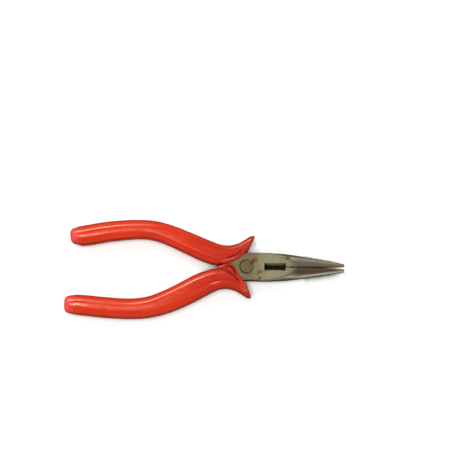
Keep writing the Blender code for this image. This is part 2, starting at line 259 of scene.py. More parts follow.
@dataclass
class Graph:
    """Builds a material's nodes, with positions read in millimetres."""

    name: str
    tree: bpy.types.NodeTree = field(init=False)
    shader: bpy.types.ShaderNode = field(init=False)
    material: bpy.types.Material = field(init=False)
    place: Socket = field(init=False)
    samples: int = 8

    def __post_init__(self) -> None:
        """Start the material and its coordinates."""
        self.material = bpy.data.materials.new(self.name)
        self.material.use_nodes = True
        self.tree = self.material.node_tree
        self.shader = self.tree.nodes["Principled BSDF"]
        coordinates = self.tree.nodes.new("ShaderNodeTexCoord")
        self.place = self.vector("SCALE", coordinates.outputs["Object"], scale=1 / MM)

    def link(self, source: Socket, target: Socket) -> None:
        """Join two sockets."""
        self.tree.links.new(source, target)

    def feed(self, socket: Socket, value: Feed) -> None:
        """Set a socket to a value, or join it to another socket.

        Args:
            socket: The socket to feed.
            value: A number, a row of numbers, or the socket to join it to.
        """
        if isinstance(value, Socket):
            self.link(value, socket)
        else:
            socket.default_value = value

    def vector(self, operation: str, *inputs: Feed, scale: float | None = None) -> Socket:
        """Add a vector calculation and return its result.

        Args:
            operation: The name of the calculation.
            inputs: What it works on.
            scale: The factor that a SCALE uses.

        Returns:
            The socket of the result.
        """
        node = self.tree.nodes.new("ShaderNodeVectorMath")
        node.operation = operation
        for socket, value in zip(node.inputs, inputs):
            self.feed(socket, value)
        if scale is not None:
            node.inputs["Scale"].default_value = scale
        return node.outputs["Value" if operation in ("DISTANCE", "LENGTH") else "Vector"]

    def math(self, operation: str, *inputs: Feed) -> Socket:
        """Add a calculation on numbers and return its result.

        Args:
            operation: The name of the calculation.
            inputs: What it works on.

        Returns:
            The socket of the result.
        """
        node = self.tree.nodes.new("ShaderNodeMath")
        node.operation = operation
        for socket, value in zip(node.inputs, inputs):
            self.feed(socket, value)
        return node.outputs[0]

    def noise(self, scale: float, detail: float = 2.0, stretch: Row = (1.0, 1.0, 1.0)) -> Socket:
        """Add noise with a number of features per millimetre, stretched by axis.

        Args:
            scale: How many features it has per millimetre.
            detail: How much finer noise is added.
            stretch: The factor on each axis.

        Returns:
            A socket from 0 to 1.
        """
        node = self.tree.nodes.new("ShaderNodeTexNoise")
        self.link(self.vector("MULTIPLY", self.place, stretch), node.inputs["Vector"])
        node.inputs["Scale"].default_value = scale
        node.inputs["Detail"].default_value = detail
        return node.outputs["Fac"]

    def remap(self, value: Feed, low: float, high: float, start: float = 0.0,
              end: float = 1.0) -> Socket:
        """Map a range of numbers softly onto another.

        Args:
            value: What is mapped.
            low: Where its range begins.
            high: Where its range ends.
            start: What it gives at the beginning.
            end: What it gives at the end.

        Returns:
            The socket of the result.
        """
        node = self.tree.nodes.new("ShaderNodeMapRange")
        node.interpolation_type = "SMOOTHSTEP"
        self.feed(node.inputs["Value"], value)
        for key, number in (("From Min", low), ("From Max", high), ("To Min", start), ("To Max", end)):
            node.inputs[key].default_value = number
        return node.outputs["Result"]

    def axis(self, name: str) -> Socket:
        """Return one coordinate of the surface point, in millimetres.

        Args:
            name: X, Y or Z.

        Returns:
            The socket of the coordinate.
        """
        node = self.tree.nodes.new("ShaderNodeSeparateXYZ")
        self.link(self.place, node.inputs[0])
        return node.outputs[name]

    def openness(self, reach: float) -> Socket:
        """Return how open each point is, from 0 to 1, to what stands within a reach.

        Args:
            reach: How far to look, in millimetres.

        Returns:
            A socket from 0, shut in, to 1, open.
        """
        node = self.tree.nodes.new("ShaderNodeAmbientOcclusion")
        node.samples = self.samples
        node.inputs["Distance"].default_value = reach * MM
        return node.outputs["AO"]

    def crevice(self, reach: float, start: float, full: float) -> Socket:
        """Return how hidden each point is by what stands within a reach in millimetres."""
        return self.remap(self.openness(reach), start, full)

    def flat_place(self) -> Socket:
        """Return the surface point's place in plan, in millimetres."""
        return self.vector("MULTIPLY", self.place, (1.0, 1.0, 0.0))

    def facing_up(self) -> Socket:
        """Return how squarely each point faces one of the flat sides, from 0 to 1.

        Returns:
            A socket from 0, edge on, to 1, square on.
        """
        coordinates = self.tree.nodes.new("ShaderNodeTexCoord")
        node = self.tree.nodes.new("ShaderNodeSeparateXYZ")
        self.link(coordinates.outputs["Normal"], node.inputs[0])
        return self.math("ABSOLUTE", node.outputs["Z"])

    def mix(self, share: Feed, first: Feed, second: Feed) -> Socket:
        """Mix two colours and return the result.

        Args:
            share: How much of the second there is.
            first: The first colour.
            second: The second colour.

        Returns:
            The socket of the result.
        """
        node = self.tree.nodes.new("ShaderNodeMix")
        node.data_type = "RGBA"
        self.feed(node.inputs["Factor"], share)
        for socket, value in ((node.inputs["A"], first), (node.inputs["B"], second)):
            self.feed(socket, (*value, 1.0) if isinstance(value, tuple) else value)
        return node.outputs["Result"]

    def bump(self, height: Socket, distance: float, strength: float = 1.0) -> None:
        """Raise the surface by a height pattern, a distance in millimetres at most.

        Args:
            height: The pattern.
            distance: How far it raises the surface at most.
            strength: How much of the effect shows.
        """
        node = self.tree.nodes.new("ShaderNodeBump")
        node.inputs["Strength"].default_value = strength
        node.inputs["Distance"].default_value = distance * MM
        self.link(height, node.inputs["Height"])
        self.link(node.outputs["Normal"], self.shader.inputs["Normal"])


@dataclass(frozen=True)
class GroundSteel:
    """Forged tool steel, ground along its length, with a dull tarnish, a few rust stains, painted shade and
    a painted reflection.
    """

    name: str
    bright: Row = (0.43, 0.455, 0.36)
    dull: Row = (0.42, 0.405, 0.28)
    shaded: Row = (0.23, 0.205, 0.125)
    nose: Row = (0.48, 0.49, 0.40)
    nose_start: float = 22.0
    # Painted reflection: brown on the jaws' inner sides, stronger on the lower jaw.
    painted_brown_reflection: Row = (0.25, 0.165, 0.12)
    painted_reflection_shares: Point = (0.95, 0.6)
    nose_half_width: Point = (6.9, 28.6)
    nose_taper: float = 0.18
    # Near-black colour for the nick, and for painted shade on edge-on faces, in crevices and round the
    # rivet's rim.
    scale: Row = (0.065, 0.06, 0.05)
    rust: Row = (0.115, 0.07, 0.016)
    roughness: float = 0.27
    rivet_rim: float = 3.9
    stains: tuple[Place, ...] = (
        (4.6, 4.5, 3.4), (3.0, 2.6, 2.6), (7.7, -3.4, 2.6), (24.2, 4.9, 1.9))
    nick: Place = (7.5, -6.9, 1.1)

    def material(self) -> bpy.types.Material:
        """Build the steel's node material.

        Returns:
            The material.
        """
        graph = Graph(self.name)
        patches = graph.noise(0.16, 4.0)
        speckle = graph.noise(2.2, 3.0)
        tone = graph.mix(graph.remap(patches, 0.35, 0.65), self.bright, self.dull)
        tone = graph.mix(graph.remap(speckle, 0.5, 0.75, 0.0, 0.5), tone, self.dull)
        ragged = graph.math("MULTIPLY", graph.math("SUBTRACT", graph.noise(0.45, 4.0), 0.5), 5.0)
        toward_grip = graph.math("ADD", graph.axis("X"), ragged)
        # Painted shade: the steel is darker towards the grip.
        tone = graph.mix(graph.remap(toward_grip, 14.0, 0.0, 0.0, 0.95), tone, self.shaded)
        tone = graph.mix(graph.remap(toward_grip, self.nose_start, self.nose_start + 9.0, 0.0, 0.8),
                         tone, self.nose)
        # Painted reflection: the jaws' inner sides tinted brown.
        tone = graph.mix(self.painted_reflection_share(graph, toward_grip), tone, self.painted_brown_reflection)
        # Painted shade in the joint round the rivet's rim, heavier towards the grip.
        rim_distance = graph.math("SUBTRACT", graph.vector("LENGTH", graph.flat_place()), self.rivet_rim)
        rim_shade = graph.remap(graph.math("ABSOLUTE", rim_distance), 0.7, 0.2)
        rim_shade = graph.math("MULTIPLY", rim_shade, graph.remap(toward_grip, 3.5, -1.5, 0.2, 0.95))
        tone = graph.mix(rim_shade, tone, self.scale)
        rusting = self.stain_share(graph, ragged)
        tone = graph.mix(rusting, tone, self.rust)
        nick_x, nick_y, nick_radius = self.nick
        nick_away = graph.vector("DISTANCE", graph.flat_place(), (nick_x, nick_y, 0.0))
        nick_edge = graph.math("ADD", nick_away, graph.math("MULTIPLY", ragged, 0.5))
        tone = graph.mix(graph.remap(nick_edge, nick_radius, 0.2, 0.0, 0.95), tone, self.scale)
        # Painted shade: faces that stand edge on are darkened.
        edge_on_shade = graph.remap(graph.facing_up(), 0.5, 0.12)
        tone = graph.mix(edge_on_shade, tone, self.scale)
        # Painted shade in crevices and recesses.
        tone = graph.mix(graph.crevice(2.5, 0.7, 0.3), tone, self.scale)
        graph.feed(graph.shader.inputs["Base Color"], tone)
        graph.shader.inputs["Metallic"].default_value = 1.0
        scratches = graph.noise(1.6, 3.0, (0.08, 2.6, 2.6))
        worn = graph.math("ADD", graph.remap(scratches, 0.3, 0.7, -0.04, 0.06), self.roughness)
        worn = graph.math("ADD", worn, graph.math("MULTIPLY", rusting, 0.35))
        worn = graph.math("ADD", worn, graph.math("MULTIPLY", edge_on_shade, 0.2))
        graph.feed(graph.shader.inputs["Roughness"], worn)
        grain = graph.math("ADD", scratches, graph.math("MULTIPLY", graph.noise(0.35, 2.0), 2.0))
        graph.bump(grain, 0.02, 0.6)
        return graph.material

    def painted_reflection_share(self, graph: Graph, along: Socket) -> Socket:
        """Return how far the painted brown reflection on the jaws' inner sides covers each point.

        Args:
            graph: The material being built.
            along: The ragged distance along the tool, in millimetres.

        Returns:
            A socket from 0, bare, to nearly 1, brown.
        """
        side = graph.axis("Y")
        half_width, start = self.nose_half_width
        width = graph.math("SUBTRACT", half_width + start * self.nose_taper,
                           graph.math("MULTIPLY", graph.axis("X"), self.nose_taper))
        outward = graph.math("DIVIDE", graph.math("ABSOLUTE", side), width)
        inner = graph.remap(outward, 0.95, 0.78)
        lower, upper = self.painted_reflection_shares
        amount = graph.remap(side, -0.3, 0.3, lower, upper)
        reached = graph.remap(along, start - 5.0, start + 2.0)
        return graph.math("MULTIPLY", graph.math("MULTIPLY", inner, amount), reached)

    def stain_share(self, graph: Graph, ragged: Socket) -> Feed:
        """Return how rusty each point is.

        Args:
            graph: The material being built.
            ragged: Noise that breaks up the edge of each stain.

        Returns:
            A socket from 0, clean, to nearly 1, brown.
        """
        total: Feed = 0.0
        for x, y, radius in self.stains:
            away = graph.vector("DISTANCE", graph.flat_place(), (x, y, 0.0))
            edge = graph.math("ADD", away, graph.math("MULTIPLY", ragged, 0.9))
            total = graph.math("MAXIMUM", graph.remap(edge, radius, 0.2, 0.0, 0.85), total)
        return total


@dataclass(frozen=True)
class SleeveVinyl:
    """Glossy red-orange vinyl, pinker and clearer past the end of the tang, with painted shade towards the
    mouth and in creases.
    """

    name: str
    butt_x: float
    tang_x: float
    worn: Row
    body: Row = (0.50, 0.024, 0.003)
    # Darker red for random streaks, and for painted shade towards the mouth.
    deep: Row = (0.33, 0.013, 0.004)
    hollow: Row = (0.66, 0.055, 0.05)
    # Near-black red for painted shade in creases and crevices.
    crease: Row = (0.06, 0.002, 0.001)
    roughness: float = 0.19

    def material(self) -> bpy.types.Material:
        """Build the vinyl's node material.

        Returns:
            The material.
        """
        graph = Graph(self.name)
        streaks = graph.noise(0.55, 3.0, (0.12, 1.0, 1.0))
        tone = graph.mix(graph.remap(streaks, 0.35, 0.7, 0.0, 0.45), self.body, self.deep)
        # Painted shade: darker towards the mouth.
        tone = graph.mix(graph.remap(graph.axis("X"), -50.0, -6.0, 0.0, 0.9), tone, self.deep)
        wander = graph.math("MULTIPLY", graph.math("SUBTRACT", graph.noise(0.2, 3.0), 0.5), 7.0)
        along = graph.math("ADD", graph.axis("X"), wander)
        emptiness = graph.remap(along, self.tang_x, self.butt_x, 0.0, 1.0)
        tone = graph.mix(emptiness, tone, self.hollow)
        # Painted shade in creases and crevices.
        tone = graph.mix(graph.crevice(2.0, 0.9, 0.5), tone, self.crease)
        graph.feed(graph.shader.inputs["Base Color"], tone)
        handled = graph.noise(0.5, 4.0, (0.35, 1.0, 1.0))
        gloss = graph.remap(handled, 0.35, 0.8, self.roughness - 0.02, self.roughness + 0.12)
        near, far, amount = self.worn
        dulled = graph.math("MULTIPLY", graph.remap(along, near - 3.0, near + 5.0),
                            graph.remap(along, far + 10.0, far - 10.0, 0.0, amount))
        graph.feed(graph.shader.inputs["Roughness"], graph.math("ADD", gloss, dulled))
        graph.shader.inputs["IOR"].default_value = 1.46
        graph.shader.inputs["Specular IOR Level"].default_value = 0.4
        graph.shader.inputs["Subsurface Weight"].default_value = 0.18
        graph.shader.inputs["Subsurface Radius"].default_value = (1.0, 0.25, 0.12)
        graph.shader.inputs["Subsurface Scale"].default_value = 2.5 * MM
        ripple = graph.math("ADD", graph.noise(0.28, 2.0, (0.4, 1.0, 1.0)),
                            graph.math("MULTIPLY", graph.noise(3.0, 2.0), 0.06))
        graph.bump(ripple, 0.1, 0.5)
        return graph.material


@dataclass
class Joint:
    """The lap joint's sizes and the place of each half, read from the frame where it has them."""

    opening: float = 1.3
    full_opening: float = 41.3
    half_width: float = 8.1
    jaw_radius: float = 10.4
    handle_radius: float = 8.6
    seam: float = 0.08
    lap_gap: float = 0.1
    thickness: float = field(init=False)
    middle: float = field(init=False)

    def __post_init__(self) -> None:
        """Read the head's thickness from the front forging."""
        low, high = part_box("front_half")
        self.thickness = (high.z - low.z) / MM
        self.middle = self.thickness / 2

    def attitude(self, half: Half) -> Matrix:
        """Return the matrix that sets a drawn half in place.

        Args:
            half: The half, of which the front one stays as drawn.

        Returns:
            The matrix.
        """
        if half is Half.FRONT:
            return Matrix.Identity(4)
        lift = Matrix.Translation((0.0, 0.0, self.thickness * MM))
        swing = Matrix.Rotation(-math.radians(self.opening), 4, "Z")
        return lift @ swing @ Matrix.Rotation(math.pi, 4, "X")


def set_in_place(obj: bpy.types.Object, joint: Joint, half: Half, node: str) -> None:
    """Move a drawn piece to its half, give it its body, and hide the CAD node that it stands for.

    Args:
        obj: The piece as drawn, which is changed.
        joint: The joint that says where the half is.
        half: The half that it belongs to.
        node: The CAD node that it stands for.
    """
    obj.data.transform(joint.attitude(half))
    obj.data.update()
    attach(obj, half.value)
    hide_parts(node)
    log.info("%s: %d faces on %s", obj.name, len(obj.data.polygons), half.value)


@dataclass
class Sleeve:
    """One moulded sleeve: a bent oval grip, a flared guard, and a rolled lip round its mouth."""

    stations: list[Station]
    half_depth: float = 6.25
    butt_half_depth: float = 5.7
    squareness: float = 2.5
    mouth_squareness: float = 4.0
    mouth_stations: int = 5
    butt_rounding: float = 3.0
    guard_rounding: float = 0.9
    gap: float = 0.3
    lip_gap: float = 0.2
    mouth_x: float = -13.5
    lobe: tuple[Point, ...] = ((-17.2, -1.4), (-13.6, 0.0), (-10.8, -0.2), (-8.8, -1.8), (-7.2, -4.1))
    lip: tuple[Point, ...] = (
        (-15.4, -0.1), (-12.6, 0.7), (-9.9, 0.95), (-8.0, 0.2), (-6.7, -2.1), (-5.5, -4.8), (-3.4, -7.8))
    web: tuple[Point, ...] = ((-13.0, -3.5), (-10.0, -2.6), (-7.6, -4.6), (-5.4, -7.6), (-3.6, -9.4))
    crease: tuple[Point, ...] = ((-14.0, -1.7), (-11.2, -2.8), (-8.4, -4.8), (-6.2, -6.5), (-4.6, -9.2))
    lip_crease: tuple[Point, ...] = ((-12.6, -0.3), (-10.0, 0.1), (-8.2, -1.0), (-6.9, -3.2), (-5.9, -5.6))
    far_bead: tuple[Point, ...] = ((-15.4, -2.4), (-12.0, -3.0), (-8.6, -4.1), (-5.2, -6.0), (-2.0, -9.2))
    far_crease: tuple[Point, ...] = ((-11.6, -4.7), (-8.2, -5.7), (-5.2, -7.4), (-3.0, -9.8))
    far_edge: tuple[Point, ...] = (
        (-20.0, 1.0), (-15.0, -0.7), (-13.3, -1.5), (-8.6, -2.6), (-3.9, -5.0), (-0.9, -8.4))
    far_corners: tuple[Point, ...] = ((6.0, 9.0), (-20.0, 9.0))
    far_edge_steps: int = 6
    far_trim_low: float = -4.0
    roll_height: float = 0.55
    crease_height: float = 1.6
    near_flutes: tuple[Place, Place] = ((0.30, -0.42, 0.16), (0.50, 0.22, 0.16))
    far_flutes: tuple[Place, Place] = ((0.20, -0.30, 0.2), (0.35, -0.62, 0.1))
    flute_sinks: Point = (0.3, 0.2)
    fluted: Place = (0.38, 0.25, 0.2)
    butt_skip: float = 0.66
    butt_spread: float = 3
    rounding_step: int = 15
    slot_low: float = -0.5
    slot_heel: float = 2.9
    slot_reach: float = 35.0
    slot_high: float = 10.0
    hollow_end: float = 8.5
    polish: float = 0.5
    polish_rounds: int = 4
    sides: int = 96
    steps: int = 16
    voxel: float = 0.26
    press_reach: float = 0.3

    def flute(self, across: float, flutes: tuple[Place, Place], sink: float) -> float:
        """Return how far a face of the grip stands out of its oval.

        Args:
            across: How far across the grip the point is, from -1 to 1.
            flutes: The height, middle and width of the ridge, and the same of the groove.
            sink: How far the whole face is sunk.

        Returns:
            The distance outward.
        """
        (rise, rise_at, rise_width), (fall, fall_at, fall_width) = flutes
        return rise * hump(across, rise_at, rise_width) - fall * hump(across, fall_at, fall_width) - sink

    def ring(self, outer: Vector, inner: Vector, half_depth: float, squareness: float,
             middle: float, fluting: float) -> Ring:
        """Draw one squared oval section, with its flutes.

        Args:
            outer: The plan point on the handle's outer side.
            inner: The plan point on its inner side.
            half_depth: Half the section's depth.
            squareness: 2 for an oval, more for a squarer form.
            middle: The height of the section's centre.
            fluting: How deep the flutes are, from 0 to 1.

        Returns:
            The points round the section.
        """
        centre = (outer + inner) / 2
        reach = (outer - inner) / 2
        points = []
        for side in range(self.sides):
            angle = 2 * math.pi * side / self.sides
            across = math.copysign(abs(math.cos(angle)) ** (2 / squareness), math.cos(angle))
            up = math.copysign(abs(math.sin(angle)) ** (2 / squareness), math.sin(angle))
            own_face = self.flute(across, self.near_flutes, self.flute_sinks[0])
            far_face = self.flute(across, self.far_flutes, self.flute_sinks[1])
            flute = fluting * (own_face if up > 0 else -far_face) * min(1.0, abs(up) * 2)
            place = centre + reach * across
            points.append((place.x, place.y, middle + half_depth * up + flute))
        return points

    def rounding(self, outer: Vector, inner: Vector, half_depth: float, squareness: float,
                 radius: float, direction: int, middle: float) -> list[Ring]:
        """Return the rings that round an end off, small face first.

        Args:
            outer: The plan point on the outer side, where the rounding starts.
            inner: The one on the inner side.
            half_depth: Half the section's depth there.
            squareness: 2 for an oval, more for a squarer form.
            radius: The radius of the rounding.
            direction: -1 for the butt and 1 for the guard.
            middle: The height of the section's centre.

        Returns:
            The rings, the end face first.
        """
        centre = (outer + inner) / 2
        reach = (outer - inner) / 2
        outward = Vector((-reach.y, reach.x)).normalized() * direction
        rings = []
        for degrees in range(0, 90, self.rounding_step):
            inset = radius * (1 - math.sin(math.radians(degrees)))
            shift = outward * radius * math.cos(math.radians(degrees))
            scale = 1 - inset / reach.length
            rings.append(self.ring(centre + reach * scale + shift, centre - reach * scale + shift,
                                   half_depth - inset, squareness, middle, 0.0))
        return rings

    def body(self, middle: float) -> list[Ring]:
        """Return the rings of the sleeve's outer form, from the butt to the guard.

        Args:
            middle: The height of the sleeve's centre.

        Returns:
            The rings in order.
        """
        rows = smooth_through([(*outer, *inner) for outer, inner in self.stations], self.steps)
        pairs = [(Vector(row[:2]), Vector(row[2:])) for row in rows]
        butt_outer, butt_inner = pairs[0]
        across = (butt_inner - butt_outer).normalized()
        inward = Vector((-across.y, across.x)) * -self.butt_rounding
        start = (butt_outer + inward, butt_inner + inward)
        rings = self.rounding(*start, self.butt_half_depth, self.squareness,
                              self.butt_rounding, -1, middle)
        rings.append(self.ring(*start, self.butt_half_depth, self.squareness, middle, 0.0))
        mouth_steps = self.mouth_stations * self.steps
        begins, rise, fall = self.fluted
        skipped = round(self.steps * self.butt_skip)
        for index, (outer, inner) in enumerate(pairs[skipped:], skipped):
            share = index / (len(pairs) - 1)
            deepening = min(1.0, share * self.butt_spread)
            half_depth = between(self.butt_half_depth, self.half_depth, deepening)
            squaring = min(1.0, max(0.0, 2 - (len(pairs) - index) / mouth_steps))
            squareness = between(self.squareness, self.mouth_squareness, squaring)
            fluting = ease((share - begins) / rise) * ease((1.0 - share) / fall)
            rings.append(self.ring(outer, inner, half_depth, squareness, middle, fluting))
        guard = self.rounding(*pairs[-1], self.half_depth, self.mouth_squareness,
                              self.guard_rounding, 1, middle)
        return rings + guard[::-1]

    def swing_slot(self, joint: Joint) -> bmesh.types.BMesh:
        """Return the slot in the mouth that the head swings in.

        Args:
            joint: The joint that says how far it swings.

        Returns:
            The solid to take away.
        """
        normal = Vector(polar(1.0, -90 - joint.full_opening))
        along = Vector((-normal.y, normal.x))
        edge = normal * (joint.half_width + self.gap)
        outline = [(self.mouth_x, self.slot_low), tuple(edge - along * self.slot_heel),
                   tuple(edge + along * self.slot_reach), (self.slot_reach, self.slot_high),
                   (self.mouth_x, self.slot_high)]
        return prism(outline, -self.lip_gap, joint.thickness + self.lip_gap)

    def build(self, name: str, joint: Joint, forging: "Forging") -> bpy.types.Object:
        """Make the sleeve as one smooth moulded skin.

        Args:
            name: The name of the piece.
            joint: The joint whose head swings in the mouth.
            forging: The forging whose tang is inside.

        Returns:
            The sleeve as drawn.
        """
        sleeve = solid(name, skin(self.body(joint.middle)))
        form = BVHTree.FromObject(sleeve, bpy.context.evaluated_depsgraph_get())
        self.roll_mouth(sleeve, joint)
        shape(sleeve, solid("hollow", skin(forging.tang_rings(self, joint, self.gap))), Cut.TAKE)
        shape(sleeve, solid("slot", self.swing_slot(joint)), Cut.TAKE)
        remesh = sleeve.modifiers.new("mould", "REMESH")
        remesh.mode = "VOXEL"
        remesh.voxel_size = self.voxel * MM
        relax = sleeve.modifiers.new("polish", "SMOOTH")
        relax.factor = self.polish
        relax.iterations = self.polish_rounds
        settle(sleeve)
        self.press_to_form(sleeve, form)
        sleeve.data.shade_smooth()
        return sleeve

    def dress(self, piece: bpy.types.Object, node: str, worn: Row) -> None:
        """Give the sleeve its vinyl, placed by the butt of its CAD node.

        Args:
            piece: The sleeve, which is changed.
            node: The CAD node that it stands for.
            worn: Where the held part begins and ends, and how dull it is.
        """
        low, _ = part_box(node)
        vinyl = SleeveVinyl(node + "_vinyl", low.x / MM, low.x / MM + self.hollow_end, worn)
        piece.data.materials.clear()
        piece.data.materials.append(vinyl.material())

    def press_to_form(self, sleeve: bpy.types.Object, form: BVHTree) -> None:
        """Press the skin onto the exact outer form wherever it already lies close to it.

        Args:
            sleeve: The remeshed sleeve, which is changed.
            form: The sleeve's outer form before its mouth was rolled.
        """
        reach = self.press_reach * MM
        for vertex in sleeve.data.vertices:
            place, _, _, away = form.find_nearest(vertex.co, reach)
            if place is not None:
                vertex.co = vertex.co.lerp(place, ease(2 - 2 * away / reach))
        sleeve.data.update()

    def roll_mouth(self, sleeve: bpy.types.Object, joint: Joint) -> None:
        """Mould the rolled lips and creases round the mouth.

        Args:
            sleeve: The sleeve's outer form, which is changed.
            joint: The joint whose head the lips lap over.
        """
        own_face = joint.thickness + self.roll_height
        far_face = -self.roll_height
        edge = [(x, y) for x, y, *_ in smooth_through(list(self.far_edge), self.far_edge_steps)]
        trimmed = prism(edge + list(self.far_corners), self.far_trim_low, self.lip_gap)
        shape(sleeve, solid("far_trim", trimmed), Cut.TAKE)
        for path, height, wide, high in (
                (self.web, own_face - 0.1, 2.2, 0.75), (self.lobe, own_face, 1.3, 0.95),
                (self.lip, own_face - 0.05, 0.85, 0.85), (self.far_bead, far_face, 1.35, 0.8)):
            shape(sleeve, solid("roll", cord(list(path), height, wide, high)), Cut.JOIN)
        for path, height, wide, high in (
                (self.crease, joint.thickness + self.crease_height, 0.95, 1.12),
                (self.lip_crease, joint.thickness + self.crease_height, 0.7, 1.08),
                (self.far_crease, -self.crease_height, 0.5, 0.95)):
            shape(sleeve, solid("crease", cord(list(path), height, wide, high)), Cut.TAKE)


@dataclass
class Forging:
    """One forged half: ground head and nose, its layer of the lap joint, neck and tang."""

    half: Half
    nose: tuple[Row, ...] = (
        (10.0, 10.4, 16.0), (16.0, 8.6, 9.8), (22.0, 7.85, 7.1), (28.6, 6.9, 4.95),
        (38.0, 5.35, 3.5), (48.0, 3.55, 2.45), (57.24, 1.77, 1.54),
    )
    neck: tuple[Station, ...] = (
        ((-8.6, -0.15), (-2.0, -8.1)), ((-12.2, -0.4), (-8.5, -9.0)), ((-18.5, -3.5), (-15.5, -10.7)),
    )
    tang_half_widths: tuple[float, ...] = (3.7, 3.7, 3.6, 3.5, 3.4, 3.1, 2.4)
    tang_depths: tuple[Point, ...] = ((-12.0, 4.86), (-30.0, 3.5), (-115.0, 2.4))
    edge_hardness: float = 30.0
    cutter_end: float = 23.0
    cutter_half_width: float = 2.1
    cutter_land: float = 2.4
    teeth: Point = (27.2, 52.6)
    tooth_pitch: float = 1.3
    tooth_depth: float = 0.29
    crest: float = 0.25
    parting: float = 0.02
    tip_relief: float = 0.1
    tip_relief_start: float = 52.8
    sides: int = 180
    head_stations: Row = (-14.0, -6.0, 2.0, 6.0)
    unground: float = 60.0
    nose_steps: int = 10
    tip_rounding: tuple[Point, ...] = ((0.0, 0.97), (0.22, 0.9), (0.36, 0.75))
    beyond: Point = (70.0, 12.0)
    neck_top: Point = (-8.6, -0.15)
    neck_cut: float = -9.6
    swing_edge: float = 248.0
    tang_steps: int = 6
    tang_undersize: float = 0.08
    cutter_backing: float = -0.5
    tooth_backing: float = -0.8
    overshoot: float = 1.0
    sharp_degrees: float = 28.0

    def section(self, x: float, wide: float, deep: float, joint: Joint, scale: float = 1.0) -> Ring:
        """Draw the blank's section at one place: an oval ground flat on four sides.

        Args:
            x: The place along the tool.
            wide: The oval's half width.
            deep: The oval's half depth.
            joint: The joint, for where the flat sides are.
            scale: How much of its full size it has.

        Returns:
            The points round the section.
        """
        points = []
        for side in range(self.sides):
            angle = 2 * math.pi * (side + 0.5) / self.sides
            c, s = abs(math.cos(angle)), abs(math.sin(angle))
            limits = (c / joint.half_width, s / joint.middle, math.hypot(c / wide, s / deep))
            radius = scale * sum(limit**self.edge_hardness for limit in limits) ** (-1 / self.edge_hardness)
            points.append((x, radius * math.cos(angle), joint.middle + radius * math.sin(angle)))
        return points

    def blank(self, joint: Joint) -> bmesh.types.BMesh:
        """Return the head and nose as one ground blank, both jaws together.

        Args:
            joint: The joint that the half is part of.

        Returns:
            The blank.
        """
        rings = [self.section(x, self.unground, self.unground, joint) for x in self.head_stations]
        for x, wide, deep in smooth_through(list(self.nose), self.nose_steps):
            rings.append(self.section(x, wide, deep, joint))
        tip_x, wide, deep = self.nose[-1]
        for past, scale in self.tip_rounding:
            rings.append(self.section(tip_x + past, wide, deep, joint, scale))
        return skin(rings)

    def plan(self, joint: Joint) -> list[Point]:
        """Return the outline that this half keeps of the blank, in its own layer.

        Args:
            joint: The joint that the half is part of.

        Returns:
            The outline's points.
        """
        edge_angle = math.degrees(math.asin(joint.half_width / joint.handle_radius))
        toe_angle = -math.degrees(math.asin(joint.half_width / joint.jaw_radius))
        shoulder = arc(joint.handle_radius, 180 - edge_angle, 180)
        toe = arc(joint.jaw_radius, toe_angle, 0)
        start, end = self.teeth[0] - self.tooth_pitch / 2, self.tip_relief_start
        far_x, far_y = self.beyond
        return [(far_x, self.parting), (far_x, far_y), (shoulder[0][0], far_y), *shoulder, self.neck_top,
                (self.neck_cut, self.neck_top[1]), (self.neck_cut, -far_y), (toe[0][0], -far_y), *toe,
                (start, self.parting),
                (start, -self.crest), (end, -self.crest), (end, self.parting)]

    def lap_pocket(self, joint: Joint) -> bmesh.types.BMesh:
        """Return what clears the other half's boss out of this half.

        Args:
            joint: The joint that the half is part of.

        Returns:
            The solid to take away.
        """
        outline = arc(joint.jaw_radius + joint.seam, self.swing_edge - 360, 180)
        outline += arc(joint.handle_radius + joint.seam, 180, self.swing_edge)
        return prism(outline, -self.overshoot, joint.middle + joint.lap_gap)

    def tang_rings(self, sleeve: Sleeve, joint: Joint, clearance: float) -> list[Ring]:
        """Return square sections of the neck and tang, grown all round by a clearance.

        Args:
            sleeve: The sleeve that the tang is inside.
            joint: The joint that the half is part of.
            clearance: How far the sections are grown.

        Returns:
            The sections, from the neck to the end.
        """
        rows = [(*upper, *lower) for upper, lower in self.neck]
        stations = sleeve.stations[len(self.tang_half_widths)::-1]
        for (outer, inner), half_width in zip(stations, self.tang_half_widths):
            centre = (Vector(outer) + Vector(inner)) / 2
            across = (Vector(inner) - Vector(outer)).normalized() * half_width
            rows.append((*(centre + across), *(centre - across)))
        rings = []
        for row in smooth_through(rows, self.tang_steps):
            upper, lower = Vector(row[:2]), Vector(row[2:])
            across = (upper - lower).normalized() * clearance
            depth = self.tang_half_depth((upper.x + lower.x) / 2) + clearance
            corners = ((upper + across, -depth), (upper + across, depth),
                       (lower - across, depth), (lower - across, -depth))
            rings.append([(point.x, point.y, joint.middle + z) for point, z in corners])
        return rings

    def tang_half_depth(self, x: float) -> float:
        """Return the forging's half depth at a place along the handle.

        Args:
            x: The place.

        Returns:
            Half the depth there.
        """
        depth = self.tang_depths[0][1] - self.tang_undersize
        for (near, near_depth), (far, far_depth) in zip(self.tang_depths, self.tang_depths[1:]):
            if far <= x <= near:
                share = (near - x) / (near - far)
                depth = between(near_depth, far_depth, share) - self.tang_undersize
        return depth

    def valley(self, joint: Joint, outward: int) -> bmesh.types.BMesh:
        """Return the wedge that slopes from one face down to the cutting edge.

        Args:
            joint: The joint that the half is part of.
            outward: 1 for the near side and -1 for the far side.

        Returns:
            The solid to take away.
        """
        land = joint.middle + outward * self.cutter_land / 2
        face = joint.middle + outward * (joint.middle + self.overshoot)
        reach = self.cutter_half_width * (joint.middle + self.overshoot) / joint.middle
        section = [(self.cutter_backing, land), (0.0, land), (reach, face), (self.cutter_backing, face)]
        ends = (joint.jaw_radius - self.overshoot, self.cutter_end)
        return skin([[(x, y, z) for y, z in section] for x in ends])

